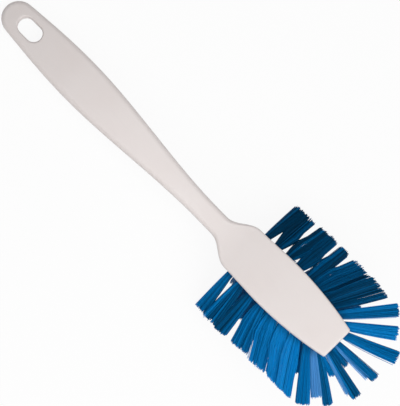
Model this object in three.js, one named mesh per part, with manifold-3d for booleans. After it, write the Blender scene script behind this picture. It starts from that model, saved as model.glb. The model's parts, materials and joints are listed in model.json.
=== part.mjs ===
import * as THREE from 'three';
import { mergeGeometries, mergeVertices } from 'three/addons/utils/BufferGeometryUtils.js';
import Module from 'manifold-3d';

const wasm = await Module();
wasm.setup();
const { lerp, clamp, smoothstep, smootherstep, degToRad } = THREE.MathUtils;

// Dish brush in millimetres. It is built with the flat back of the head at z = 0, the tail end of
// the handle at x = 0 and the toe toward +X, and laid down on its tail and bristle tips at the end.

// runs along X, one after the other from the tail; the head is as long as its rows of tufts need
const gripRun = 55;
const taperRun = 97;
const neckRun = 8;
const shoulderRun = 21;
const heelRun = 24;
const toeZone = 15.35;

// half widths seen from above
const tailRadius = 9.5;
const gripHalf = 12.2;
const neckHalf = 6.1;
const shoulderHalf = 14.1;
const headHalf = 14.9;
const toeHalf = 10;

// thicknesses of the moulding, its edge rounding and the rise of the tail above the head
const tailThick = 7;
const gripThick = 12;
const neckThick = 10.5;
const headThick = 15;
const toeThick = 5.8;
const edgeThick = 4.6;
const handleRound = 2.6;
const headRound = 1.1;
const toeChamfer = 0.6;
const tailRise = 33;

// hanging slot in the tail
const slotWidth = 9.6;
const slotLength = 15.2;
const slotFromTail = 18.2;
const slotChamfer = 0.9;

// tufts: filaments folded in half over a flat plate and punched into blind holes
const sideTufts = 7;
const toePairs = 3;
const innerPairs = 6;
const strandsPerTuft = 10;
const sidePitch = 7.95;
const toePitch = 5.35;
const edgeInset = 4.4;
const toeInset = 4.8;
const innerOffset = 5.4;
const innerToeInset = 13.3;
const innerToeOffset = 2.1;
const sideLength = 34.5;
const toeLength = 38.5;
const innerLength = 34;
const sideSplayAngle = 57;
const cornerSplayAngle = 62;
const toeSplayAngle = 60;
const innerSplayAngle = 16;
const innerCornerSplayAngle = 42;
const innerToeSplayAngle = 22;
const toeFanAngle = 17;
const heelAzimuthAngle = 88;
const frontAzimuthAngle = 68;
const baseSpread = 1.2;
const tipSpread = 3.4;
const strandRadius = 0.27;
const strandSink = 0.6;
const tipRagged = 1.2;

// holes, anchor plates and the slice of the head that carries each group of tufts
const fitGap = 0.3;
const holeRadius = 1.35;
const holeDepth = 6;
const plateThick = 0.4;
const plateHeight = 1.2;
const plateBite = 0.4;
const foldThick = 0.5;
const bedDepth = 1.1;
const bedRim = 1.6;
const islandInset = 7.2;

const gripAt = gripRun;
const neckAt = gripAt + taperRun;
const neckEnd = neckAt + neckRun;
const shoulderAt = neckEnd + shoulderRun;
const widestAt = shoulderAt + heelRun;
const toeAt = shoulderAt + sidePitch * sideTufts + toeZone;
const toeRun = toeAt - widestAt;
const domeAt = widestAt + toeRun * 0.4;
const bendAt = shoulderAt - shoulderRun * 0.15;

// The tail circle leaves off where its slope equals the start of the sine that widens the grip.
const tailSlope = Math.PI / 2 * (gripHalf - tailRadius) / (gripAt - tailRadius);
const tailAngle = Math.atan(tailSlope);
const tailHalf = tailRadius * Math.cos(tailAngle);
const tailJoin = tailRadius * (1 - Math.sin(tailAngle));

// The back is flat along the head, dips into the neck and flattens out again toward the tail.
const sideProfile = new THREE.CubicBezierCurve(
  new THREE.Vector2(0, tailRise),
  new THREE.Vector2(bendAt * 0.53, tailRise * 0.82),
  new THREE.Vector2(bendAt * 0.79, 0),
  new THREE.Vector2(bendAt, 0),
);

function backZ(x) {
  if (x >= bendAt) return 0;
  let low = 0;
  let high = 1;
  for (let i = 0; i < 40; i += 1) {
    const middle = (low + high) / 2;
    if (sideProfile.getPoint(middle).x < x) low = middle;
    else high = middle;
  }
  return sideProfile.getPoint(low).y;
}

function halfWidth(x) {
  const along = clamp((x - tailJoin) / (gripAt - tailJoin), 0, 1);
  if (x < gripAt) return lerp(tailHalf, gripHalf, Math.sin(Math.PI / 2 * along));
  if (x < neckEnd) return lerp(gripHalf, neckHalf, smoothstep(x, gripAt, neckAt));
  if (x < shoulderAt) return lerp(neckHalf, shoulderHalf, smootherstep(x, neckEnd, shoulderAt));
  if (x < widestAt) return lerp(shoulderHalf, headHalf, smoothstep(x, shoulderAt, widestAt));
  return lerp(headHalf, toeHalf, ((x - widestAt) / toeRun) ** 2);
}

function thickness(x) {
  if (x < gripAt) return lerp(tailThick, gripThick, smoothstep(x, tailRadius, gripAt));
  if (x < neckEnd) return lerp(gripThick, neckThick, smoothstep(x, gripAt, neckAt));
  if (x < domeAt) return lerp(neckThick, headThick, smoothstep(x, neckEnd, shoulderAt));
  return lerp(headThick, toeThick, ((x - domeAt) / (toeAt - domeAt)) ** 2);
}

// Half section: flat underside, elliptical lower corner, straight side, elliptical upper corner.
// Along the head the lower corner grows until the underside is a dome.
function section(x) {
  const headness = smoothstep(x, neckEnd, shoulderAt);
  const half = halfWidth(x);
  const thick = thickness(x);
  return {
    half,
    thick,
    topRun: lerp(handleRound, headRound, headness),
    topDrop: lerp(handleRound * 0.85, headRound, headness),
    lowRun: half * lerp(0.62, 0.9, headness),
    lowRise: lerp(thick * 0.5, thick - edgeThick, headness),
  };
}

function undersideZ(x, y) {
  const s = section(x);
  const out = clamp((Math.abs(y) - (s.half - s.lowRun)) / s.lowRun, 0, 1);
  return backZ(x) - s.thick + s.lowRise * (1 - Math.sqrt(1 - out * out));
}

function undersideNormal(x, y) {
  const step = 0.05;
  const slopeX = (undersideZ(x + step, y) - undersideZ(x - step, y)) / (2 * step);
  const slopeY = (undersideZ(x, y + step) - undersideZ(x, y - step)) / (2 * step);
  return new THREE.Vector3(slopeX, slopeY, -1).normalize();
}

function steps(from, to, count) {
  return Array.from({ length: count }, (_, i) => from + (to - from) * i / count);
}

// Distance from the centre line and height of the half section, from the bottom to the top.
function sectionPoints(s, inset) {
  const half = s.half - inset;
  const bottom = inset - s.thick;
  const points = [[0, bottom]];
  const lowSteps = 5;
  const topSteps = 3;
  for (let i = 0; i <= lowSteps; i += 1) {
    const turn = Math.PI / 2 * i / lowSteps;
    points.push([half - s.lowRun * (1 - Math.sin(turn)), bottom + s.lowRise * (1 - Math.cos(turn))]);
  }
  for (let i = 0; i <= topSteps; i += 1) {
    const turn = Math.PI / 2 * i / topSteps;
    points.push([half - s.topRun * (1 - Math.cos(turn)), -inset - s.topDrop * (1 - Math.sin(turn))]);
  }
  points.push([0, -inset]);
  return points;
}

function indexedGeometry(positions, index) {
  const geometry = new THREE.BufferGeometry();
  geometry.setAttribute('position', new THREE.Float32BufferAttribute(positions, 3));
  geometry.setIndex(index);
  return geometry;
}

// The half section travels from the left of the toe round the tail to the right of the toe.
function bodyGeometry() {
  const xs = [
    ...steps(tailRadius * 1.4, gripAt, 5),
    ...steps(gripAt, neckAt, 9),
    ...steps(neckAt, neckEnd, 2),
    ...steps(neckEnd, shoulderAt, 6),
    ...steps(shoulderAt, toeAt - toeChamfer, 9),
    toeAt - toeChamfer,
  ];
  const flank = [{ pivot: toeAt, turn: Math.PI / 2, s: section(toeAt), inset: toeChamfer }];
  xs.reverse().forEach((x) => flank.push({ pivot: x, turn: Math.PI / 2, s: section(x), inset: 0 }));
  const tailSection = { ...section(tailRadius), half: tailRadius };
  steps(Math.PI / 2 + tailAngle, Math.PI, 7)
    .forEach((turn) => flank.push({ pivot: tailRadius, turn, s: tailSection, inset: 0 }));
  const tip = { pivot: tailRadius, turn: Math.PI, s: tailSection, inset: 0 };
  const mirrored = flank.map((station) => ({ ...station, turn: -station.turn })).reverse();
  const stations = [...flank, tip, ...mirrored];

  const positions = [];
  stations.forEach(({ pivot, turn, s, inset }) => {
    sectionPoints(s, inset).forEach(([out, height]) => {
      const x = pivot + out * Math.cos(turn);
      positions.push(x, out * Math.sin(turn), backZ(x) + height);
    });
  });
  const rows = stations.length;
  const columns = positions.length / 3 / rows;
  const index = [];
  for (let k = 0; k < rows - 1; k += 1) {
    for (let i = 0; i < columns - 1; i += 1) {
      const a = k * columns + i;
      const b = a + columns;
      index.push(a, b, b + 1, a, b + 1, a + 1);
    }
  }
  const centre = positions.length / 3;
  positions.push(toeAt, 0, -toeThick / 2);
  const last = (rows - 1) * columns;
  for (let i = 0; i < columns - 1; i += 1) {
    index.push(centre, i, i + 1, centre, last + i + 1, last + i);
  }
  return indexedGeometry(positions, index);
}

// Welds the corners, drops the triangles that collapsed and hands the closed shape to the cutter.
function solid(...geometries) {
  const bare = geometries.map((geometry) => {
    const copy = geometry.clone();
    copy.deleteAttribute('normal');
    copy.deleteAttribute('uv');
    return copy;
  });
  const welded = mergeVertices(mergeGeometries(bare), 1e-4);
  const kept = [];
  const corner = welded.index.array;
  for (let i = 0; i < corner.length; i += 3) {
    const [a, b, c] = [corner[i], corner[i + 1], corner[i + 2]];
    if (a !== b && b !== c && c !== a) kept.push(a, b, c);
  }
  return new wasm.Manifold(new wasm.Mesh({
    numProp: 3,
    vertProperties: Float32Array.from(welded.attributes.position.array),
    triVerts: Uint32Array.from(kept),
  }));
}

function geometryOf(shape) {
  const mesh = shape.getMesh();
  return indexedGeometry(Array.from(mesh.vertProperties), Array.from(mesh.triVerts));
}

function moved(geometry, matrix) {
  return geometry.clone().applyMatrix4(matrix);
}

const body = solid(bodyGeometry());

function raisedBody(height) {
  return solid(moved(bodyGeometry(), new THREE.Matrix4().makeTranslation(0, 0, height)));
}

// Stadium-shaped slot square to the back of the tail, its rim opened on both faces by a bevel.
function slotCutters() {
  const radius = slotWidth / 2;
  const reach = slotLength / 2 - radius;
  const outline = new THREE.Shape();
  outline.absarc(reach, 0, radius, -Math.PI / 2, Math.PI / 2);
  outline.absarc(-reach, 0, radius, Math.PI / 2, Math.PI * 1.5);
  const depth = gripThick * 3;
  const options = { depth, bevelEnabled: false, curveSegments: 8 };
  const straight = new THREE.ExtrudeGeometry(outline, options).translate(0, 0, -depth / 2);
  const flare = new THREE.ExtrudeGeometry(outline, {
    depth: slotChamfer,
    bevelThickness: slotChamfer,
    bevelSize: slotChamfer,
    bevelSegments: 1,
    curveSegments: 8,
  });
  const top = flare.clone();
  const bottom = flare.translate(0, 0, -thickness(slotFromTail) - slotChamfer);
  const slope = (backZ(slotFromTail + 1) - backZ(slotFromTail - 1)) / 2;
  const seat = new THREE.Matrix4().makeRotationY(-Math.atan(slope))
    .setPosition(slotFromTail, 0, backZ(slotFromTail));
  return [straight, top, bottom].map((geometry) => solid(moved(geometry, seat)));
}

// Upright block over the head, `inset` inside its outline and cut straight across at the heel.
function headBlock(heelX, inset, toeGap) {
  const front = toeAt - toeGap;
  const xs = [...steps(heelX, front, 7), front];
  const outline = xs.map((x) => new THREE.Vector2(x, halfWidth(x) - inset));
  const mirrored = xs.map((x) => new THREE.Vector2(x, inset - halfWidth(x))).reverse();
  const shape = new THREE.Shape([...outline, ...mirrored]);
  const depth = headThick * 4;
  return new THREE.ExtrudeGeometry(shape, { depth, bevelEnabled: false }).translate(0, 0, -depth / 2);
}

// Each tuft: place on the underside, azimuth from the toe direction and splay from straight down.
function tuft(group, x, y, azimuth, splay, length) {
  const turn = degToRad(azimuth);
  const lean = degToRad(splay);
  const axis = new THREE.Vector3(
    Math.sin(lean) * Math.cos(turn),
    Math.sin(lean) * Math.sin(turn),
    -Math.cos(lean),
  );
  const across = new THREE.Vector3(-Math.sin(turn), Math.cos(turn), 0);
  const upward = new THREE.Vector3().crossVectors(across, axis);
  const normal = undersideNormal(x, y);
  const frame = new THREE.Matrix4().makeBasis(across, axis, upward)
    .setPosition(x, y, undersideZ(x, y));
  const facing = new THREE.Vector3(normal.dot(across), normal.dot(axis), normal.dot(upward));
  return { group, frame, facing, length, mirrored: y < 0 };
}

const heelX = shoulderAt + sidePitch / 4;
const lastSideX = heelX + sidePitch * (sideTufts - 1);
const frontX = toeAt - toeInset;
const cornerY = halfWidth(frontX) - edgeInset;
const lastToeX = frontX - (toePitch * toePairs - cornerY);

// The outer tufts lean out most at the two front corners of the head.
function layTufts() {
  const tufts = [];
  const sides = [['left_side', 1], ['right_side', -1]];
  for (let i = 0; i < sideTufts; i += 1) {
    const x = heelX + sidePitch * i;
    const y = halfWidth(x) - edgeInset;
    const along = i / (sideTufts - 1);
    const azimuth = lerp(heelAzimuthAngle, frontAzimuthAngle, along ** 2);
    const splay = lerp(sideSplayAngle, cornerSplayAngle, along ** 3);
    sides.forEach(([group, side]) => {
      tufts.push(tuft(group, x, side * y, side * azimuth, splay, sideLength));
    });
  }
  tufts.push(tuft('toe', frontX, 0, 0, toeSplayAngle, toeLength));
  for (let j = 1; j <= toePairs; j += 1) {
    const run = toePitch * j;
    const x = frontX - Math.max(0, run - cornerY);
    const y = Math.min(run, halfWidth(x) - edgeInset);
    const splay = lerp(toeSplayAngle, cornerSplayAngle, (j / toePairs) ** 3);
    sides.forEach(([, side]) => {
      tufts.push(tuft('toe', x, side * y, side * toeFanAngle * j, splay, toeLength));
    });
  }
  // the inner tufts stand between the outer ones, steeper, and also lean out most at the corners
  for (let i = 0; i < innerPairs; i += 1) {
    const x = heelX + sidePitch * (i + 0.5);
    const azimuth = Math.min(90, toeFanAngle * (innerPairs + 1.5 - i));
    const splay = lerp(innerSplayAngle, innerCornerSplayAngle, i / (innerPairs - 1));
    sides.forEach(([, side]) => {
      tufts.push(tuft('centre', x, side * innerOffset, side * azimuth, splay, innerLength));
    });
  }
  const innerFront = toeAt - innerToeInset;
  const middleX = (innerFront + heelX + sidePitch * (innerPairs - 0.5)) / 2;
  tufts.push(tuft('centre', middleX, 0, 0, innerToeSplayAngle, innerLength));
  sides.forEach(([, side]) => {
    const azimuth = side * toeFanAngle / 2;
    tufts.push(tuft('centre', innerFront, side * innerToeOffset, azimuth, innerToeSplayAngle, innerLength));
  });
  return tufts;
}

const tufts = layTufts();

// In a tuft's own frame Y runs outward along the tuft from the underside of the head.
function placed(item, geometry, y) {
  return moved(geometry, item.frame.clone().multiply(new THREE.Matrix4().makeTranslation(0, y, 0)));
}

const plateAt = -(holeDepth - fitGap - foldThick - fitGap - plateHeight / 2);
const plateWidth = 2 * (holeRadius + plateBite);

function hole(item) {
  const geometry = new THREE.CylinderGeometry(holeRadius, holeRadius, holeDepth, 6);
  return placed(item, geometry, -holeDepth / 2);
}

function plate(item) {
  return placed(item, new THREE.BoxGeometry(plateThick, plateHeight, plateWidth), plateAt);
}

// Room round the plate: an eye through the folded end and a slot into the wall on either side.
function plateSlot(item) {
  const [thick, height, width] = [plateThick, plateHeight, plateWidth].map((size) => size + 2 * fitGap);
  return placed(item, new THREE.BoxGeometry(thick, height, width), plateAt);
}

// The folded end of the tuft fills its hole and reaches past the underside until it is trimmed.
function foldedEnd(item) {
  const radius = holeRadius - fitGap;
  const reach = holeDepth - fitGap;
  const geometry = new THREE.CylinderGeometry(radius, radius, reach + 1, 6);
  return placed(item, geometry, (1 - reach) / 2);
}

// Straight three-sided strands start in a sunflower pattern inside the bed and fan out to the tip.
function strands(item) {
  const golden = Math.PI * (3 - Math.sqrt(5));
  const made = [];
  for (let k = 0; k < strandsPerTuft; k += 1) {
    const turn = item.mirrored ? Math.PI - golden * k : golden * k;
    const share = Math.sqrt((k + 0.5) / strandsPerTuft);
    const side = new THREE.Vector3(Math.cos(turn), 0, Math.sin(turn));
    const base = side.clone().multiplyScalar(baseSpread * share);
    const tip = side.clone().multiplyScalar(tipSpread * share);
    base.y = -strandSink - (base.x * item.facing.x + base.z * item.facing.z) / item.facing.y;
    tip.y = item.length - tipRagged * ((k * 7) % 5) / 5;
    const positions = [];
    [base, tip].forEach((end) => {
      for (let corner = 0; corner < 3; corner += 1) {
        const angle = turn - Math.PI * 2 / 3 * corner;
        positions.push(end.x + strandRadius * Math.cos(angle), end.y, end.z + strandRadius * Math.sin(angle));
      }
    });
    const index = [0, 2, 1, 3, 4, 5];
    for (let corner = 0; corner < 3; corner += 1) {
      const next = (corner + 1) % 3;
      index.push(corner, next, next + 3, corner, next + 3, corner + 3);
    }
    made.push(placed(item, indexedGeometry(positions, index), 0));
  }
  return made;
}

// The bed is the lowest slice of the head. It is divided into an outer ring and a centre island,
// and the ring into left, right and toe, each with its own tufts.
const bedHeel = shoulderAt - fitGap;
const islandHeel = bedHeel + sidePitch / 2;
const toeSplit = (lastSideX + lastToeX) / 2;
const bedSlice = solid(headBlock(bedHeel, bedRim, bedRim)).subtract(raisedBody(bedDepth));
const bed = body.intersect(bedSlice);
const islandToe = toeInset + holeRadius * 2.6;
const island = bed.intersect(solid(headBlock(islandHeel, islandInset, islandToe)));
const ring = bed.subtract(
  solid(headBlock(islandHeel - fitGap, islandInset - fitGap, islandToe - fitGap)),
);

function quarterBlock(fromX, toX, fromY, toY) {
  const height = headThick * 4;
  const block = new THREE.BoxGeometry(toX - fromX, toY - fromY, height);
  return solid(block.translate((fromX + toX) / 2, (fromY + toY) / 2, 0));
}

const beds = {
  left_side: ring.intersect(quarterBlock(0, toeSplit, fitGap / 2, headHalf * 2)),
  right_side: ring.intersect(quarterBlock(0, toeSplit, -headHalf * 2, -fitGap / 2)),
  toe: ring.intersect(quarterBlock(toeSplit + fitGap, toeAt, -headHalf * 2, headHalf * 2)),
  centre: island,
};

const trimmedBody = raisedBody(bedDepth / 3);

function bristleNode(group) {
  const own = tufts.filter((item) => item.group === group);
  const ends = solid(...own.map(foldedEnd)).intersect(trimmedBody);
  const eyes = solid(...own.map(plateSlot));
  return beds[group].add(ends).subtract(eyes).add(solid(...own.flatMap(strands)));
}

const pocket = solid(headBlock(bedHeel - fitGap, bedRim - fitGap, bedRim - fitGap))
  .subtract(raisedBody(bedDepth + fitGap));
let handle = body.subtract(pocket);
slotCutters().forEach((cutter) => {
  handle = handle.subtract(cutter);
});
tufts.forEach((item) => {
  handle = handle.subtract(solid(hole(item))).subtract(solid(plateSlot(item)));
});

const nodes = [['handle', geometryOf(handle), { color: 0xe2dad6, roughness: 0.42, metalness: 0 }]];
['left_side', 'right_side', 'toe', 'centre'].forEach((group) => {
  const look = { color: 0x0b5c9e, roughness: 0.38, metalness: 0 };
  nodes.push([`${group}_bristles`, geometryOf(bristleNode(group)), look]);
  tufts.filter((item) => item.group === group).forEach((item, i) => {
    const steel = { color: 0xb9bbbd, roughness: 0.34, metalness: 1 };
    nodes.push([`${group}_anchor_${i + 1}`, plate(item), steel]);
  });
});

// Rest pose: the toe is tipped up until the tail and the lowest bristle tips reach the same level.
function lowest(geometry, tilt, limitX) {
  const { array } = geometry.attributes.position;
  let low = Infinity;
  for (let i = 0; i < array.length; i += 3) {
    const height = array[i] * Math.sin(tilt) + array[i + 2] * Math.cos(tilt);
    if (array[i] < limitX && height < low) low = height;
  }
  return low;
}

function restTilt() {
  const bristles = nodes.filter(([name]) => name.endsWith('bristles'));
  let small = 0;
  let large = Math.PI / 3;
  for (let i = 0; i < 40; i += 1) {
    const tilt = (small + large) / 2;
    const tips = Math.min(...bristles.map(([, geometry]) => lowest(geometry, tilt, Infinity)));
    if (lowest(nodes[0][1], tilt, gripAt) > tips) small = tilt;
    else large = tilt;
  }
  return small;
}

const tipped = new THREE.Matrix4().makeRotationY(-restTilt());
const bounds = new THREE.Box3();
nodes.forEach(([, geometry]) => {
  geometry.applyMatrix4(tipped);
  geometry.computeBoundingBox();
  bounds.union(geometry.boundingBox);
});
const middle = bounds.getCenter(new THREE.Vector3());

const brush = new THREE.Group();
brush.name = 'dish_brush';
nodes.forEach(([name, geometry, look]) => {
  geometry.translate(-middle.x, -middle.y, -bounds.min.z);
  const flat = geometry.toNonIndexed();
  flat.computeVertexNormals();
  const mesh = new THREE.Mesh(flat, new THREE.MeshStandardMaterial(look));
  mesh.name = name;
  brush.add(mesh);
});

export default brush;
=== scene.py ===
import bpy
import json
import math
import numpy as np
from mathutils import Matrix, Vector


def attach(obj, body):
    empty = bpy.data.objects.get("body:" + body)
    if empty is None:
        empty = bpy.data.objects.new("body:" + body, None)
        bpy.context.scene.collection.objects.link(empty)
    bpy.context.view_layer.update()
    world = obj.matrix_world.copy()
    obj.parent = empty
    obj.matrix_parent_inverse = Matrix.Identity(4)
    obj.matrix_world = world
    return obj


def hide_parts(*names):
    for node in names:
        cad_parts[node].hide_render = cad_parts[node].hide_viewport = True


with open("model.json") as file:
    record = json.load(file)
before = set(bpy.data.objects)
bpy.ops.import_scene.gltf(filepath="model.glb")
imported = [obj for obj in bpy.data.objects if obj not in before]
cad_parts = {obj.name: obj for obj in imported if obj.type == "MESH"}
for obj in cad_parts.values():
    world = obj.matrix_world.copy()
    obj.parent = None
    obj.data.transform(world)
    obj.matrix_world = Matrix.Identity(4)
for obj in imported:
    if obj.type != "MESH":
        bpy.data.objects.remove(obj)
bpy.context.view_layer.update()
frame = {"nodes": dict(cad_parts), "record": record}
print("frame loaded,", len(frame["nodes"]), "nodes")

# the brush is worked out in millimetres, with its tail end at x = 0, the toe toward +x
# and the head's flat back at z = 0; the mount on that back says how it lies in the frame
perMetre = 1000.0
restPose = {"mount": "head_back", "mountAt": 212.0}
mount = next(entry for entry in frame["record"]["mounts"] if entry["name"] == restPose["mount"])
tilt = math.atan2(-mount["axis"][0], mount["axis"][2])  # toe up
headAlong = np.array([math.cos(tilt), 0.0, math.sin(tilt)])
headUp = np.array([-math.sin(tilt), 0.0, math.cos(tilt)])
tableUp = np.array([math.sin(tilt), 0.0, math.cos(tilt)])  # the table's up in the brush's axes
tailPlace = np.array(mount["pos_m"]) * perMetre - headAlong * restPose["mountAt"]


def toRest(points):
    # turn about Y so that the toe rises, shift to the mount's place, millimetres to metres
    x, y, z = points[..., 0:1], points[..., 1:2], points[..., 2:3]
    return (x * headAlong + y * np.array([0.0, 1.0, 0.0]) + z * headUp + tailPlace) / perMetre


def clamp01(t):
    return np.clip(t, 0.0, 1.0)


def mix(a, b, t):
    return a + (b - a) * t


def smooth(x, low, high):  # cubic ease between low and high
    t = clamp01((x - low) / (high - low))
    return t * t * (3 - 2 * t)


def smoother(x, low, high):  # quintic ease between low and high
    t = clamp01((x - low) / (high - low))
    return t ** 3 * (t * (6 * t - 15) + 10)


def newPiece(name, points, faceGroups, sharpAngle=None):
    mesh = bpy.data.meshes.new(name)
    mesh.from_pydata(points.tolist(), [], [face for group in faceGroups for face in group.tolist()])
    mesh.validate()
    mesh.shade_smooth()
    if sharpAngle:
        mesh.set_sharp_from_angle(angle=math.radians(sharpAngle))
    piece = bpy.data.objects.new(name, mesh)
    bpy.context.scene.collection.objects.link(piece)
    return piece


def gridQuads(rows, columns):
    # one quad for each step along the rows and columns of a grid of points
    a = (np.arange(rows - 1)[:, None] * columns + np.arange(columns - 1)).reshape(-1)
    return np.stack([a, a + columns, a + columns + 1, a + 1], 1)


def tubeFaces(shape):
    # closed tubes from stacks of rings, the last two sizes being rings and corners: walls and end caps
    index = np.arange(math.prod(shape)).reshape(shape)
    following = np.roll(index, -1, -1)
    low, high = index[..., :-1, :], index[..., 1:, :]
    walls = np.stack([low, following[..., :-1, :], following[..., 1:, :], high], -1).reshape(-1, 4)
    caps = [index[..., 0, ::-1].reshape(-1, shape[-1]), index[..., -1, :].reshape(-1, shape[-1])]
    return walls, np.concatenate(caps)


def weld(points, quads, digits=4):
    # joins equal corners and sorts the faces into quads and triangles
    _, first, back = np.unique(np.round(points, digits), axis=0, return_index=True, return_inverse=True)
    quads = back.reshape(-1)[quads]
    closed = np.stack([quads[:, i] == quads[:, (i + 1) % 4] for i in range(4)], 1)
    whole = quads[closed.sum(1) == 0]
    slim = closed.sum(1) == 1
    turned = (np.argmax(closed[slim], 1)[:, None] + np.arange(1, 4)) % 4
    triangles = np.take_along_axis(quads[slim], turned, 1)
    return points[first], whole, triangles


handleForm = {
    # places along the brush
    "gripAt": 55.0, "neckAt": 152.0, "neckEnd": 160.0, "shoulderAt": 181.0, "widestAt": 205.0,
    "domeAt": 223.8, "toeAt": 252.0,
    # half widths seen from above
    "tailRadius": 9.5, "gripHalf": 12.2, "neckHalf": 6.1, "shoulderHalf": 14.1, "headHalf": 14.9,
    "toeHalf": 10.0,
    # thicknesses, the last one at the head's side
    "tailThick": 7.0, "gripThick": 12.0, "neckThick": 10.5, "headThick": 15.0, "toeThick": 5.8,
    "edgeThick": 4.6,
    # the back's curve in the side view, with its pulls as shares of its run and rise
    "bendAt": 177.85, "tailRise": 33.0, "tailPull": 0.53, "tailHold": 0.82, "bendPull": 0.79,
    # upper edge and toe roundings, and the lower corner's shares of half width and thickness
    "handleRound": 2.6, "handleDrop": 0.85, "headRound": 1.1, "toeRound": 0.9,
    "gripCorner": 0.62, "headCorner": 0.9, "gripRise": 0.5,
    # slight crown on the back of the grip, with where it comes in and goes out
    "crown": 0.25, "crownStart": (32.0, 60.0), "crownEnd": (140.0, 168.0),
}

handleMesh = {
    # sections along the outline; near the tail they stand closer, and then turn round its centre
    "toeRows": 6, "headRows": 120, "shoulderRows": 44, "gripRows": 80, "tailRows": 40, "fanRows": 32,
    "tailFrom": 40.0, "fanFrom": 1.15,
    # points of a section from the middle of the underside to the middle of the back
    "flatPoints": 8, "lowPoints": 34, "sidePoints": 4, "topPoints": 11, "backPoints": 12,
    "curvePoints": 2001, "sharpAngle": 38.0,
}


def backHeight(x):
    # cubic curve in the side view: flat head, dip at the neck, flattening toward the tail
    form = handleForm
    t = np.linspace(0, 1, handleMesh["curvePoints"])
    b0, b1, b2, b3 = (1 - t) ** 3, 3 * t * (1 - t) ** 2, 3 * t * t * (1 - t), t ** 3
    along = form["bendAt"] * (b1 * form["tailPull"] + b2 * form["bendPull"] + b3)
    up = form["tailRise"] * (b0 + b1 * form["tailHold"])
    return np.interp(x, along, up, right=0.0)


def tailJoin():
    # the tail circle stops where its slope equals the start of the sine that widens the grip
    radius = handleForm["tailRadius"]
    slope = math.pi / 2 * (handleForm["gripHalf"] - radius) / (handleForm["gripAt"] - radius)
    angle = math.atan(slope)
    return angle, radius * math.cos(angle), radius * (1 - math.sin(angle))


def halfWidth(x):
    # outline from above: sine out to the grip, cubic ease down to the neck, quintic ease at the shoulder,
    # cubic ease to the widest place, parabola to the toe
    form = handleForm
    _, startHalf, startX = tailJoin()
    rising = clamp01((x - startX) / (form["gripAt"] - startX))
    grip = mix(startHalf, form["gripHalf"], np.sin(np.pi / 2 * rising))
    neck = mix(form["gripHalf"], form["neckHalf"], smooth(x, form["gripAt"], form["neckAt"]))
    shoulder = mix(form["neckHalf"], form["shoulderHalf"], smoother(x, form["neckEnd"], form["shoulderAt"]))
    heel = mix(form["shoulderHalf"], form["headHalf"], smooth(x, form["shoulderAt"], form["widestAt"]))
    forward = (x - form["widestAt"]) / (form["toeAt"] - form["widestAt"])
    toe = mix(form["headHalf"], form["toeHalf"], forward ** 2)
    stops = [x < form["gripAt"], x < form["neckEnd"], x < form["shoulderAt"], x < form["widestAt"]]
    return np.select(stops, [grip, neck, shoulder, heel], toe)


def thickness(x):
    # depth of the moulding: eases from tail to grip, neck and head, then a parabola to the thin toe
    form = handleForm
    grip = mix(form["tailThick"], form["gripThick"], smooth(x, form["tailRadius"], form["gripAt"]))
    neck = mix(form["gripThick"], form["neckThick"], smooth(x, form["gripAt"], form["neckAt"]))
    head = mix(form["neckThick"], form["headThick"], smooth(x, form["neckEnd"], form["shoulderAt"]))
    forward = (x - form["domeAt"]) / (form["toeAt"] - form["domeAt"])
    toe = mix(form["headThick"], form["toeThick"], forward ** 2)
    return np.select([x < form["gripAt"], x < form["neckEnd"], x < form["domeAt"]], [grip, neck, head], toe)


def lowerCorner(x):
    # run and rise of the elliptical lower corner: a soft edge on the grip, a full dome under the head
    form = handleForm
    headness = smooth(x, form["neckEnd"], form["shoulderAt"])
    run = halfWidth(x) * mix(form["gripCorner"], form["headCorner"], headness)
    rise = mix(thickness(x) * form["gripRise"], thickness(x) - form["edgeThick"], headness)
    return run, rise, headness


def undersideHeight(x, y):
    # flat in the middle, then a quarter ellipse up to the side
    run, rise, _ = lowerCorner(x)
    out = clamp01((np.abs(y) - (halfWidth(x) - run)) / run)
    return backHeight(x) - thickness(x) + rise * (1 - np.sqrt(1 - out * out))


def handleStations():
    # outline walked from the left of the toe round the tail to the right of the toe:
    # where each half section starts, which way it points, its half width and its end rounding
    form, count = handleForm, handleMesh
    tailAngle, _, _ = tailJoin()
    centre, radius = form["tailRadius"], form["toeRound"]
    turn = np.linspace(0, np.pi / 2, count["toeRows"], endpoint=False)
    straight = np.concatenate([
        np.linspace(form["toeAt"] - radius, form["shoulderAt"], count["headRows"], endpoint=False),
        np.linspace(form["shoulderAt"], form["neckEnd"], count["shoulderRows"], endpoint=False),
        np.linspace(form["neckEnd"], count["tailFrom"], count["gripRows"], endpoint=False),
        np.linspace(count["tailFrom"], centre * count["fanFrom"], count["tailRows"]),
    ])
    pivot = np.concatenate([form["toeAt"] - radius * (1 - np.cos(turn)), straight])
    inset = np.concatenate([radius * (1 - np.sin(turn)), np.zeros(len(straight))])
    sides = [pivot, np.full(len(pivot), np.pi / 2), halfWidth(pivot), inset]
    fan = np.linspace(np.pi / 2 + tailAngle, np.pi, count["fanRows"], endpoint=False)
    tail = [np.full(len(fan), centre), fan, np.full(len(fan), centre), np.zeros(len(fan))]
    tip = [[centre], [np.pi], [centre], [0.0]]
    pivot, way, half, inset = (np.concatenate(both) for both in zip(sides, tail))
    left = [pivot, way, half, inset]
    right = [pivot[::-1], -way[::-1], half[::-1], inset[::-1]]
    return [np.concatenate(parts) for parts in zip(left, tip, right)]


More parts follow.
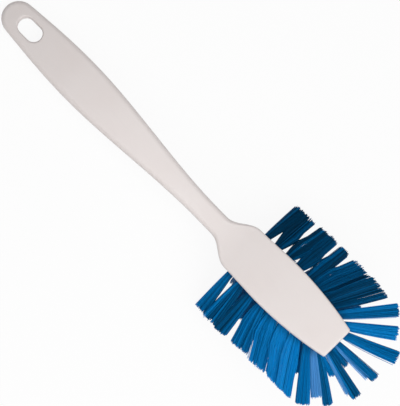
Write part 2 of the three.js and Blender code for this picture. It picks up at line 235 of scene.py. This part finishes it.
def handleGrid():
    # half section carried along the outline: flat underside, elliptical lower corner, straight side,
    # elliptical upper corner, back
    form, count = handleForm, handleMesh
    pivot, way, half, inset = (a[:, None] for a in handleStations())
    run, rise, headness = lowerCorner(pivot)
    topRun = mix(form["handleRound"], form["headRound"], headness)
    topDrop = mix(form["handleRound"] * form["handleDrop"], form["headRound"], headness)
    flat = np.linspace(0, 1, count["flatPoints"], endpoint=False)[None]
    low = np.linspace(0, np.pi / 2, count["lowPoints"])[None]
    side = np.linspace(0, 1, count["sidePoints"] + 2)[None, 1:-1]
    top = np.linspace(0, np.pi / 2, count["topPoints"])[None]
    back = np.linspace(0, 1, count["backPoints"] + 1)[None, 1:]
    bottom = inset - thickness(pivot)
    half = half - inset
    out = np.concatenate([
        (half - run) * flat,
        half - run * (1 - np.sin(low)),
        half + 0 * side,
        half - topRun * (1 - np.cos(top)),
        (half - topRun) * (1 - back),
    ], 1)
    height = np.concatenate([
        bottom + 0 * flat,
        bottom + rise * (1 - np.cos(low)),
        mix(bottom + rise, -inset - topDrop, side),
        -inset - topDrop * (1 - np.sin(top)),
        -inset + 0 * back,
    ], 1)
    # the back of the grip is crowned by a parabola, the tail round the slot and the head stay flat
    crown = form["crown"] * smooth(pivot, *form["crownStart"]) * (1 - smooth(pivot, *form["crownEnd"]))
    upper = slice(-count["topPoints"] - count["backPoints"], None)
    height[:, upper] += crown * (1 - (out[:, upper] / half) ** 2)
    x = pivot + out * np.cos(way)
    y = out * np.sin(way)
    return np.stack([x, y, backHeight(x) + height], -1)


def makeHandle():
    grid = handleGrid()
    rows, columns = grid.shape[:2]
    # the flat toe face joins the first and the last section in strips across
    a = np.arange(columns - 1)
    last = (rows - 1) * columns
    toeFace = np.stack([a, a + 1, last + a + 1, last + a], 1)
    quads = np.concatenate([gridQuads(rows, columns), toeFace])
    points, whole, triangles = weld(grid.reshape(-1, 3), quads)
    return newPiece("brushHandle", points, [whole, triangles])


slotForm = {
    "width": 9.6, "length": 15.2, "fromTail": 18.2, "rim": 1.1,
    "rimTurn": 0.94,  # share of a quarter circle that the rim takes
    "clearOut": 1.0, "clearUp": 2.0,  # how far the cutter reaches past the rim and past the faces
    "rimPoints": 9, "sides": 128,
}


def stadium(count):
    # closed path: two half circles joined by straights, with its outward direction
    radius = slotForm["width"] / 2
    reach = slotForm["length"] / 2 - radius
    turn = np.linspace(0, 2 * np.pi, count, endpoint=False)
    outward = np.round(np.stack([np.cos(turn), np.sin(turn)], -1), 12)
    centre = np.stack([np.sign(outward[:, 0]) * reach, np.zeros(count)], -1)
    return centre + outward * radius, outward


def slotCutter():
    # rounded-rim profile carried round the stadium, square to the back of the tail
    slot = slotForm
    path, outward = stadium(slot["sides"])
    middle, rim = slot["fromTail"], slot["rim"]
    depth = float(thickness(np.array(middle)))
    turn = np.linspace(0, np.pi / 2 * slot["rimTurn"], slot["rimPoints"])
    offset = rim * (1 - np.cos(turn))
    climb = rim * np.sin(turn) - rim
    farOut = [offset[-1] + slot["clearOut"]]
    profileOut = np.concatenate([farOut, offset[::-1], offset, farOut])
    profileUp = np.concatenate([[-depth - slot["clearUp"]], -depth - climb[::-1], climb, [slot["clearUp"]]])
    ring = path[None] + outward[None] * profileOut[:, None, None]
    up = np.broadcast_to(profileUp[:, None], ring.shape[:2])
    before, here, after = backHeight(np.array([middle - 1, middle, middle + 1]))
    slope = math.atan((after - before) / 2)
    x = middle + ring[..., 0] * math.cos(slope) - up * math.sin(slope)
    z = here + ring[..., 0] * math.sin(slope) + up * math.cos(slope)
    points = np.stack([x, ring[..., 1], z], -1)
    return points.reshape(-1, 3), *tubeFaces(points.shape[:-1])


tuftForm = {
    "sideCount": 7, "toePairs": 3, "innerPairs": 6, "sidePitch": 7.95, "toePitch": 5.35,
    "heelStart": 0.25, "stagger": 0.5,  # shares of the side pitch
    "edgeInset": 4.4, "toeInset": 4.8, "innerOffset": 5.4, "innerToeInset": 13.3, "innerToeOffset": 2.1,
    "sideLength": 34.5, "toeLength": 38.5, "innerLength": 34.0,
    # splay is from straight down and azimuth from the toe's direction, in degrees
    "sideSplay": 57.0, "cornerSplay": 62.0, "toeSplay": 60.0,
    "innerSplay": 16.0, "innerCornerSplay": 42.0, "innerToeSplay": 22.0,
    "heelAzimuth": 88.0, "frontAzimuth": 68.0, "innerAzimuth": 90.0,
    # turn from one toe tuft to the next, and how many such steps the front inner pair is turned
    "toeFan": 17.0, "innerFanSteps": 2.5,
    "holeRadius": 1.35, "holeDepth": 6.0, "holeSides": 20, "cutterReach": 3.0,
}

# how single tufts lean and look: on the sides from heel to front, at the toe the middle one, three on its
# left and three on its right, in the centre six on the left, six on the right and the front three
# sway, lift: how far the tip sweeps to the left, looking out along the tuft, and upward
# width, depth: half sizes at the tip; slant: how much longer it gets toward its left
# opening: less opens sooner; bulge: how much wider it is halfway
# part: how much farther some filaments, painted pale as a highlight streak, spread to the right; web: the
# same for short ones among them, which keep their own tone
# tone: painted light and shade, how much paler or darker the tuft is painted than the others for how the
# lamp falls on it or the head shades it
tuftLean = {
    "left": {
        "sway": (-1, 1, -1, 2, 3, -2, -2), "lift": (2, 1, 2, 2, 2, 5, 9),
        "width": (4.5, 3.6, 3.6, 3.6, 3.15, 8.55, 8.1), "depth": 2.4,
        "slant": (0, 0, 0, 0, 0, -0.25, -0.3),
        "opening": (0.75, 0.65, 0.5, 0.45, 0.4, 0.2, 0.3), "bulge": (0, 0.7, 0.7, 0.7, 0.7, 0.2, 0),
        "part": 0, "web": 0,
        "toneAndPaintedLight": (-0.45, -0.45, -0.35, -0.25, -0.3, -0.15, -0.5),
    },
    "right": {
        "sway": (0, 0, -1, 4, 8, 10, 6), "lift": (-3, -2, -2, -3, 1, 7, 10),
        "width": (4.05, 5.4, 4.05, 6.75, 6.3, 6.3, 5.4), "depth": 2.4,
        "slant": (0, 0, 0, 0, 0.1, 0.3, 0.4),
        "opening": (0.7, 0.6, 0.5, 0.5, 0.3, 0.3, 0.3), "bulge": (0, 0, 0, 0.2, 0.3, 0.3, 0.2),
        "part": 0, "web": 0,
        "toneAndPaintedLight": (-0.1, -0.1, -0.1, 0, 0.1, 0.3, 0.35),
    },
    "toe": {
        "sway": (2, 4, 3, 0, 2, -1, 1), "lift": (-4, 2, 1, 10, -4, -2, 2),
        "width": (4.5, 3.78, 3.78, 3.96, 4.68, 5.04, 4.14), "depth": 2.2,
        "slant": 0, "opening": 0.5, "bulge": 0,
        "part": (0.15, 0, 0, 0, 0.2, 0.7, 0), "web": (0.5, 0, 0, 0, 0.35, 0, 0),
        "toneAndPaintedLight": (-0.2, 0, 0.25, -0.05, -0.2, -0.1, -0.1),
    },
    "centre": {
        "sway": (0, 1, -1, 0, 0, 1, 0, -1, 1, 0, 0, -1, 0, 0, 0),
        "lift": (-3, -4, -4, -2, 0, 4, -3, 3, 3, 2, 0, 4, -3, -4, -4),
        "width": 4.4, "depth": 3.4,
        "slant": 0, "opening": 0.7, "bulge": 0, "part": 0, "web": 0, "toneAndPaintedLight": 0,
    },
}


def tuftRow(x, y, turn, splay, length):  # a named array for each value, all of one length
    columns = np.broadcast_arrays(*np.atleast_1d(x, y, turn, splay, length))
    return dict(zip(("x", "y", "turn", "splay", "length"), (c.astype(float) for c in columns)))


def mirrored(row):  # the same tufts on the other side of the head
    return {**row, "y": -row["y"], "turn": -row["turn"]}


def joined(rows):  # rows of tufts one after the other
    return {key: np.concatenate([row[key] for row in rows]) for key in rows[0]}


def layTufts():
    # places on the underside, azimuth, splay and length of the tufts by group: on the sides the azimuth
    # goes with the square and the splay with the cube of the way forward, the toe fans out in equal steps
    form, toeAt = tuftForm, handleForm["toeAt"]
    heelX = handleForm["shoulderAt"] + form["sidePitch"] * form["heelStart"]
    number = np.arange(form["sideCount"])
    forward = number / (form["sideCount"] - 1)
    sideX = heelX + form["sidePitch"] * number
    sideY = halfWidth(sideX) - form["edgeInset"]
    sideTurn = mix(form["heelAzimuth"], form["frontAzimuth"], forward ** 2)
    sideSplay = mix(form["sideSplay"], form["cornerSplay"], forward ** 3)
    side = tuftRow(sideX, sideY, sideTurn, sideSplay, form["sideLength"])

    frontX = toeAt - form["toeInset"]
    corner = float(halfWidth(np.array(frontX))) - form["edgeInset"]
    number = np.arange(1, form["toePairs"] + 1)
    run = form["toePitch"] * number
    toeX = frontX - np.maximum(0, run - corner)
    toeY = np.minimum(run, halfWidth(toeX) - form["edgeInset"])
    toeSplay = mix(form["toeSplay"], form["cornerSplay"], (number / form["toePairs"]) ** 3)
    toe = tuftRow(toeX, toeY, form["toeFan"] * number, toeSplay, form["toeLength"])
    toeMiddle = tuftRow(frontX, 0, 0, form["toeSplay"], form["toeLength"])

    number = np.arange(form["innerPairs"])
    lastPair = form["innerPairs"] - 1
    innerX = heelX + form["sidePitch"] * (number + form["stagger"])
    fanSteps = form["innerFanSteps"] + lastPair - number
    innerTurn = np.minimum(form["innerAzimuth"], form["toeFan"] * fanSteps)
    innerSplay = mix(form["innerSplay"], form["innerCornerSplay"], number / lastPair)
    inner = tuftRow(innerX, form["innerOffset"], innerTurn, innerSplay, form["innerLength"])
    innerFront = toeAt - form["innerToeInset"]
    middle = tuftRow((innerFront + innerX[-1]) / 2, 0, 0, form["innerToeSplay"], form["innerLength"])
    front = tuftRow(innerFront, form["innerToeOffset"], form["toeFan"] / 2, form["innerToeSplay"],
                    form["innerLength"])

    groups = {
        "left": side,
        "right": mirrored(side),
        "toe": joined([toeMiddle, toe, mirrored(toe)]),
        "centre": joined([inner, mirrored(inner), middle, front, mirrored(front)]),
    }
    for name, group in groups.items():
        for key, values in tuftLean[name].items():
            group[key] = np.broadcast_to(np.array(values, float), group["x"].shape)
    return groups


def tuftFrames(tufts):
    # base point on the underside, axis pointing out, sideways and upward directions
    x, y = tufts["x"], tufts["y"]
    turn, splay = np.radians(tufts["turn"]), np.radians(tufts["splay"])
    base = np.stack([x, y, undersideHeight(x, y)], -1)
    axis = np.stack([np.sin(splay) * np.cos(turn), np.sin(splay) * np.sin(turn), -np.cos(splay)], -1)
    across = np.stack([-np.sin(turn), np.cos(turn), np.zeros_like(turn)], -1)
    return base, axis, across, np.cross(axis, across)


def holeCutters(tufts):
    # round rods along the tufts, sunk to the depth of the holes
    form = tuftForm
    base, axis, across, upward = (a[:, None] for a in tuftFrames(tufts))
    turn = np.linspace(0, 2 * np.pi, form["holeSides"], endpoint=False)[:, None]
    ring = form["holeRadius"] * (np.cos(turn) * across + np.sin(turn) * upward)
    low = base - axis * form["holeDepth"] + ring
    high = base + axis * form["cutterReach"] + ring
    points = np.stack([low, high], 1)
    return points.reshape(-1, 3), *tubeFaces(points.shape[:-1])


def cutAway(piece, cutters):
    # each cutter is a closed surface taken out of the piece, and is removed afterwards;
    # the cuts are made in millimetres, and the result then goes to its place in metres
    for points, walls, caps in cutters:
        tool = newPiece("cuttingTool", points, [walls, caps])
        cut = piece.modifiers.new("cut", "BOOLEAN")
        cut.operation, cut.solver, cut.object = "DIFFERENCE", "MANIFOLD", tool
        evaluated = piece.evaluated_get(bpy.context.evaluated_depsgraph_get())
        made = bpy.data.meshes.new_from_object(evaluated)
        piece.modifiers.clear()
        piece.data = made
        bpy.data.objects.remove(tool)
    flat = np.empty(len(piece.data.vertices) * 3)
    piece.data.vertices.foreach_get("co", flat)
    piece.data.vertices.foreach_set("co", toRest(flat.reshape(-1, 3)).ravel())
    piece.data.update()
    piece.data.shade_smooth()
    piece.data.set_sharp_from_angle(angle=math.radians(handleMesh["sharpAngle"]))


filamentForm = {
    "perTuft": 260, "radius": 0.16, "seed": 11,
    "rootSpread": 1.25, "squareness": 0.7, "sizeRange": (0.92, 1.08),  # round at the root, boxy at the tip
    "clumps": 8, "clumpReach": 0.8, "clumping": 0.3, "clumpRange": (0.3, 1.0), "stray": 0.25,
    "ragged": 0.3, "shortShare": 0.05, "shortBy": 1.5,
    "partFrom": -0.15, "partShort": 3.4, "webFrom": -0.5, "webShort": 14.0,  # places on the disc, trims
    "sunk": 2.4, "stations": (0.1, 0.3, 0.5, 0.72, 1.0), "sweepPower": 1.4,
    "bulgeAt": 0.45, "bulgeRun": 0.2, "tableGap": 0.3, "sharpAngle": 60.0,
    "toneBase": 0.15, "toneByClump": 0.4, "toneByStrand": 0.3, "toneTop": 0.9, "paintedHighlightTone": 1.0,
}


def fanOut(tufts, rng):
    # where the filaments lie on a disc, even by the golden angle, and where their tips are across and up:
    # the disc squared and sized, then drawn to the nearest of a few clumps with some stray
    form = filamentForm
    many, each = len(tufts["x"]), form["perTuft"]
    number = np.arange(each)
    share = np.sqrt((number + 0.5) / each)
    turn = number * math.pi * (3 - math.sqrt(5)) + rng.uniform(0, 2 * np.pi, (many, 1))
    disc = np.stack([np.cos(turn), np.sin(turn)], -1) * share[None, :, None]
    size = np.stack([tufts["width"], tufts["depth"]], -1)[:, None]
    size = size * rng.uniform(*form["sizeRange"], (many, 1, 1))
    boxy = np.maximum(np.abs(np.cos(turn)), np.abs(np.sin(turn)))[..., None] ** -form["squareness"]
    tip = disc * boxy * size
    reach = form["clumpReach"]
    clumps = rng.uniform(-reach, reach, (many, form["clumps"], 2)) * size
    gap = np.linalg.norm((tip[:, :, None] - clumps[:, None]) / size[:, :, None], axis=-1)
    nearest = np.argmin(gap, -1)
    pull = np.take_along_axis(clumps, nearest[..., None], 1)
    drawn = form["clumping"] * rng.uniform(*form["clumpRange"], (many, each, 1))
    tip = mix(tip, pull, drawn) + rng.normal(0, form["stray"], (many, each, 2))
    return disc, tip, nearest


def makeBristles(name, tufts, seed):
    # every filament runs from inside its hole along the tuft, fans out toward the tip and is cut off flat:
    # centre line = base + axis * run + offset that opens with the run + sweep of the whole tuft,
    # with a small square section
    form = filamentForm
    rng = np.random.default_rng(seed)
    disc, tip, nearest = fanOut(tufts, rng)
    many, each = nearest.shape
    leans = ("part", "web", "slant", "opening", "bulge")
    part, web, slant, opening, bulge = (tufts[key][:, None] for key in leans)
    parted = (disc[..., 0] < form["partFrom"]) & (part > 0)
    webbed = parted & (disc[..., 0] < form["webFrom"]) & (web > 0)
    tip[..., 0] *= 1 + parted * part + webbed * web

    sweep = np.stack([tufts["sway"], tufts["lift"]], -1)
    tall = np.sqrt(tufts["length"] ** 2 - (sweep ** 2).sum(1))[:, None]
    short = form["shortBy"] * rng.random((many, each)) * (rng.random((many, each)) < form["shortShare"])
    length = tall + rng.normal(0, form["ragged"], (many, each)) - short
    length = length - parted * form["partShort"] * (1 + part) - webbed * form["webShort"]
    length = length + slant * tip[..., 0]

    run = np.array([-form["sunk"] / tuftForm["innerLength"], *form["stations"]])
    grow = np.maximum(run, 0)
    opened = (grow ** opening)[:, None, :, None]
    fuller = 1 + (bulge * np.exp(-((grow - form["bulgeAt"]) / form["bulgeRun"]) ** 2))[:, None, :, None]
    root = disc * form["rootSpread"]
    offset = mix(root[:, :, None], tip[:, :, None], opened) * fuller
    offset = offset + sweep[:, None, None] * (grow ** form["sweepPower"])[:, None]
    base, axis, across, upward = (a[:, None, None] for a in tuftFrames(tufts))
    centre = base + axis * (length[..., None] * run)[..., None]
    centre = centre + across * offset[..., :1] + upward * offset[..., 1:]
    # a tip that would reach below the table bends up and rests on it
    height = toRest(centre)[..., 2:] * perMetre
    centre = centre + np.maximum(form["tableGap"] - height, 0.0) * tableUp

    corner = (np.arange(4) * np.pi / 2 + rng.uniform(0, np.pi / 2, (many, each, 1)))[..., None]
    ring = form["radius"] * (np.cos(corner) * across + np.sin(corner) * upward)
    points = centre[:, :, :, None] + ring[:, :, None]
    shape = points.shape[:-1]
    piece = newPiece(name, toRest(points).reshape(-1, 3), tubeFaces(shape), form["sharpAngle"])

    clumpTone = np.take_along_axis(rng.random((many, form["clumps"])), nearest, 1)
    ownTone = rng.random((many, each))
    toneAndPaintedLight = form["toneBase"] + form["toneByClump"] * clumpTone + form["toneByStrand"] * ownTone
    # painted light and shade: each tuft is painted paler or darker for how the lamp falls on it or the head
    # shades it
    toneAndPaintedLight = np.clip(toneAndPaintedLight + tufts["toneAndPaintedLight"][:, None], 0.0, form["toneTop"])
    # painted highlight: the parted strands, but not the short webbed ones, are painted pale as a streak of
    # light
    toneAndPaintedLight = np.where(parted & ~webbed, form["paintedHighlightTone"], toneAndPaintedLight)
    for label, value in (("strandTone", toneAndPaintedLight[..., None, None]), ("strandRun", run[:, None])):
        layer = piece.data.attributes.new(label, "FLOAT", "POINT")
        layer.data.foreach_set("value", np.broadcast_to(value, shape).astype(np.float32).ravel())
    return piece


# a socket whose + - * add Math nodes to its own tree
class Value:
    def __init__(self, shader, socket):
        self.shader, self.socket = shader, socket

    def maths(self, operation, a, b):
        made = self.shader.node("ShaderNodeMath", {"operation": operation}, {0: a, 1: b})
        return Value(self.shader, made.outputs[0])

    def __add__(self, other):
        return self.maths("ADD", self, other)

    def __radd__(self, other):
        return self.maths("ADD", other, self)

    def __sub__(self, other):
        return self.maths("SUBTRACT", self, other)

    def __rsub__(self, other):
        return self.maths("SUBTRACT", other, self)

    def __mul__(self, other):
        return self.maths("MULTIPLY", self, other)

    def __rmul__(self, other):
        return self.maths("MULTIPLY", other, self)


class Shader:
    def __init__(self, owner):
        owner.use_nodes = True
        self.owner, self.tree = owner, owner.node_tree
        self.tree.nodes.clear()

    def node(self, kind, settings=None, inputs=None):
        made = self.tree.nodes.new(kind)
        for key, value in (settings or {}).items():
            if key == "stops":
                ramp = made.color_ramp
                while len(ramp.elements) < len(value):
                    ramp.elements.new(1.0)
                for element, (place, colour) in zip(ramp.elements, value):
                    element.position, element.color = place, colour
            else:
                setattr(made, key, value)
        for key, value in (inputs or {}).items():
            if isinstance(value, Value):
                self.tree.links.new(value.socket, made.inputs[key])
            else:
                made.inputs[key].default_value = value
        return made

    def value(self, kind, settings=None, inputs=None, output=0):
        return Value(self, self.node(kind, settings, inputs).outputs[output])

    def place(self):
        return self.value("ShaderNodeTexCoord", {}, {}, "Object")

    def stretched(self, place, scale):
        return self.value("ShaderNodeMapping", {}, {"Vector": place, "Scale": scale})

    def noise(self, place, scale, detail, rough):
        inputs = {"Vector": place, "Scale": scale, "Detail": detail, "Roughness": rough}
        return self.value("ShaderNodeTexNoise", {}, inputs, "Fac")

    def blend(self, factor, a, b):
        return self.value("ShaderNodeMix", {"data_type": "RGBA"}, {0: factor, 6: a, 7: b}, 2)

    def bump(self, height, strength, distance):
        inputs = {"Strength": strength, "Distance": distance, "Height": height}
        return self.value("ShaderNodeBump", {}, inputs, "Normal")

    def looked(self):  # 1 for camera, glossy and transmission rays, otherwise 0
        path = self.node("ShaderNodeLightPath").outputs
        rays = Value(self, path["Is Camera Ray"]) + Value(self, path["Is Glossy Ray"])
        rays = rays + Value(self, path["Is Transmission Ray"])
        return self.value("ShaderNodeClamp", {}, {"Value": rays})

    def finish(self, inputs):
        surface = self.value("ShaderNodeBsdfPrincipled", {}, inputs, "BSDF")
        self.node("ShaderNodeOutputMaterial", {}, {"Surface": surface})
        return self.owner


def linear(red, green, blue):  # screen colour 0..255 to linear light
    screen = np.array([red, green, blue]) / 255.0
    light = np.where(screen <= 0.04045, screen / 12.92, ((screen + 0.055) / 1.055) ** 2.4)
    return (*light.tolist(), 1.0)


# in the looks a pattern is scale, detail and roughness, and a bump is strength and depth in metres
plasticLook = {
    "body": linear(234, 227, 225), "warm": linear(229, 219, 216), "scuff": linear(223, 217, 215),
    "cloud": (38.0, 3.0, 0.55), "flow": (3.0, 4.0, 0.6), "flowStretch": (14.0, 260.0, 120.0),
    "grain": (2600.0, 2.0, 0.5), "bump": (0.12, 0.00004), "flowBump": 0.5,
    "scuffFrom": 0.55, "scuffGain": 0.9,
    "rough": 0.4, "cloudRough": 0.12, "flowRough": 0.1, "specular": 0.42,
}


def handlePlastic():
    # warm white moulded plastic: cloudy tint, faint flow lines along the handle, fine satin grain
    look = plasticLook
    shader = Shader(bpy.data.materials.new("handlePlastic"))
    place = shader.place()
    cloud = shader.noise(place, *look["cloud"])
    flow = shader.noise(shader.stretched(place, look["flowStretch"]), *look["flow"])
    grain = shader.noise(place, *look["grain"])
    colour = shader.blend(cloud, look["body"], look["warm"])
    colour = shader.blend((flow - look["scuffFrom"]) * look["scuffGain"], colour, look["scuff"])
    bump = shader.bump(grain + flow * look["flowBump"], *look["bump"])
    rough = look["rough"] + (cloud - 0.5) * look["cloudRough"] + (flow - 0.5) * look["flowRough"]
    inputs = {"Base Color": colour, "Roughness": rough, "Normal": bump}
    return shader.finish({**inputs, "Specular IOR Level": look["specular"]})


bristleLook = {
    "tonesAndPaintedLight": [  # by strand tone, from painted shade at the dark end through the plain blue to a painted highlight at the pale end, the tone between differing at random
        (0.12, linear(0, 62, 98)), (0.5, linear(0, 120, 188)), (0.9, linear(14, 146, 220)),
        (0.98, linear(80, 152, 216)),
    ],
    # painted shade: the filaments are darkened toward the root, under the head where shade falls
    "root": linear(0, 56, 92), "rootRun": 0.3, "rootShare": 0.7,
    "fleck": (900.0, 2.0, 0.5), "fleckTone": 0.16, "rough": 0.38, "fleckRough": 0.16, "specular": 0.05,
}


def bristlePlastic():
    # blue filament: tone by strand and clump, painted light and shade by tuft, painted shade at the root,
    # some strands painted pale as a highlight streak
    look = bristleLook
    shader = Shader(bpy.data.materials.new("bristlePlastic"))
    toneAndPaintedLight = shader.value("ShaderNodeAttribute", {"attribute_name": "strandTone"}, {}, "Fac")
    run = shader.value("ShaderNodeAttribute", {"attribute_name": "strandRun"}, {}, "Fac")
    fleck = shader.noise(shader.place(), *look["fleck"])
    mottled = toneAndPaintedLight + (fleck - 0.5) * look["fleckTone"]
    colour = shader.value("ShaderNodeValToRGB", {"stops": look["tonesAndPaintedLight"]}, {"Fac": mottled}, "Color")
    # painted shade at the root, where the head shades the filaments
    fade = {"Value": run, "From Max": look["rootRun"], "To Min": look["rootShare"], "To Max": 0.0}
    rootShade = shader.value("ShaderNodeMapRange", {"interpolation_type": "SMOOTHSTEP"}, fade)
    colour = shader.blend(rootShade, colour, look["root"])
    rough = look["rough"] + fleck * look["fleckRough"]
    return shader.finish({"Base Color": colour, "Roughness": rough, "Specular IOR Level": look["specular"]})


steelLook = {
    "plain": linear(178, 180, 183), "dull": linear(146, 148, 152), "patch": (700.0, 2.0, 0.5),
    "lines": (900.0, 3.0, 0.6), "lineStretch": (6.0, 6.0, 1.0), "bump": (0.2, 0.00002),
    "rough": 0.32, "lineRough": 0.12,
}


def anchorSteel():
    # rolled strip: fine upright lines, a little dull in patches
    look = steelLook
    shader = Shader(bpy.data.materials.new("anchorSteel"))
    place = shader.place()
    lines = shader.noise(shader.stretched(place, look["lineStretch"]), *look["lines"])
    colour = shader.blend(shader.noise(place, *look["patch"]), look["plain"], look["dull"])
    rough = look["rough"] + lines * look["lineRough"]
    bump = shader.bump(lines, *look["bump"])
    return shader.finish({"Base Color": colour, "Metallic": 1.0, "Roughness": rough, "Normal": bump})


tufts = layTufts()
handle = makeHandle()
cutAway(handle, [slotCutter(), holeCutters(joined(list(tufts.values())))])
handle.data.materials.clear()
handle.data.materials.append(handlePlastic())
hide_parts("handle")
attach(handle, "root")
print("handle made,", len(handle.data.polygons), "faces")

blue = bristlePlastic()
filamentPieces = {
    "left": ("leftSideFilaments", "left_side_bristles"),
    "right": ("rightSideFilaments", "right_side_bristles"),
    "toe": ("toeFilaments", "toe_bristles"),
    "centre": ("centreFilaments", "centre_bristles"),
}
for order, (group, (name, node)) in enumerate(filamentPieces.items()):
    bristles = makeBristles(name, tufts[group], filamentForm["seed"] + order)
    bristles.data.materials.append(blue)
    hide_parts(node)
    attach(bristles, "root")
    print(name, "made,", len(bristles.data.polygons), "faces")

steel = anchorSteel()
anchors = [node for name, node in frame["nodes"].items() if "_anchor_" in name]
for anchor in anchors:
    anchor.data.materials.clear()
    anchor.data.materials.append(steel)
print(len(anchors), "anchor plates finished")

# camera above the neck, leaning toward the tail and a little to the right of the brush, angles in degrees
view = {
    "lean": 15.0, "roll": 4.5, "turn": 46.78, "focal": 220.0, "sensor": 36.0,
    "frameWidth": 0.21437, "target": (0.00129, -0.00016, 0.045), "clip": (0.01, 50.0),
}
lean, roll, turn = (math.radians(view[k]) for k in ("lean", "roll", "turn"))
toCamera = Vector((-math.sin(lean) * math.cos(roll), -math.sin(roll), math.cos(lean) * math.cos(roll)))
along = (Vector((1, 0, 0)) - toCamera * toCamera.x).normalized()
leftward = toCamera.cross(along)
rightAxis = along * math.cos(turn) + leftward * math.sin(turn)
upAxis = leftward * math.cos(turn) - along * math.sin(turn)
distance = view["frameWidth"] * view["focal"] / view["sensor"]
cameraData = bpy.data.cameras.new("camera")
cameraData.sensor_fit, cameraData.sensor_width = "HORIZONTAL", view["sensor"]
cameraData.lens = view["focal"]
cameraData.clip_start, cameraData.clip_end = view["clip"]
camera = bpy.data.objects.new("camera", cameraData)
basis = Matrix((rightAxis, upAxis, toCamera)).transposed().to_4x4()
camera.matrix_world = Matrix.Translation(Vector(view["target"]) + toCamera * distance) @ basis
bpy.context.scene.collection.objects.link(camera)
bpy.context.scene.camera = camera
print("camera set")

# soft studio light in the picture's own directions (right, up, toward the camera):
# a large key from below and a little right, a fill from beside the camera and an even white world
lampAim = (0.08, 0.0, 0.05)
lamps = {
    "key": {"from": (0.3, -0.7, 1.1), "distance": 0.5, "size": 0.7, "watts": 2.1},
    "fill": {"from": (0.1, 0.0, 1.0), "distance": 0.9, "size": 0.5, "watts": 1.9},
}
for name, lamp in lamps.items():
    light = bpy.data.lights.new(name, "AREA")
    light.shape, light.size, light.energy = "DISK", lamp["size"], lamp["watts"]
    right, up, near = lamp["from"]
    way = (rightAxis * right + upAxis * up + toCamera * near).normalized()
    rig = bpy.data.objects.new(name, light)
    aimed = way.to_track_quat("Z", "Y").to_matrix().to_4x4()
    rig.matrix_world = Matrix.Translation(Vector(lampAim) + way * lamp["distance"]) @ aimed
    bpy.context.scene.collection.objects.link(rig)

white = (1, 1, 1, 1)
worldGlow = 0.28  # light that the world gives to the brush, while it looks white itself
world = bpy.data.worlds.new("studio")
bpy.context.scene.world = world
sky = Shader(world)
strength = worldGlow + sky.looked() * (1 - worldGlow)
air = sky.value("ShaderNodeBackground", {}, {"Color": white, "Strength": strength})
sky.node("ShaderNodeOutputWorld", {}, {"Surface": air})
print("lamps and world set")

floorLook = {"half": 4.0, "paint": linear(240, 240, 240), "glowShare": 0.92}


def floorWhite():
    # white table: bright to the camera, with the brush's soft shadow showing through
    shader = Shader(bpy.data.materials.new("floorWhite"))
    matt = shader.value("ShaderNodeBsdfDiffuse", {}, {"Color": floorLook["paint"]})
    glow = shader.value("ShaderNodeEmission", {}, {"Color": white, "Strength": 1.0})
    glowing = shader.looked() * floorLook["glowShare"]
    both = shader.value("ShaderNodeMixShader", {}, {0: glowing, 1: matt, 2: glow})
    # open from below, so that the underside shows
    behind = shader.value("ShaderNodeNewGeometry", {}, {}, "Backfacing")
    clear = shader.value("ShaderNodeBsdfTransparent")
    oneSided = shader.value("ShaderNodeMixShader", {}, {0: behind, 1: both, 2: clear})
    shader.node("ShaderNodeOutputMaterial", {}, {"Surface": oneSided})
    return shader.owner


corners = np.array([[-1, -1, 0], [1, -1, 0], [1, 1, 0], [-1, 1, 0]]) * floorLook["half"]
floor = newPiece("floor", corners, [np.array([[0, 1, 2, 3]])])
floor.data.materials.append(floorWhite())
print("floor laid")

bpy.context.scene.view_settings.view_transform = "Standard"
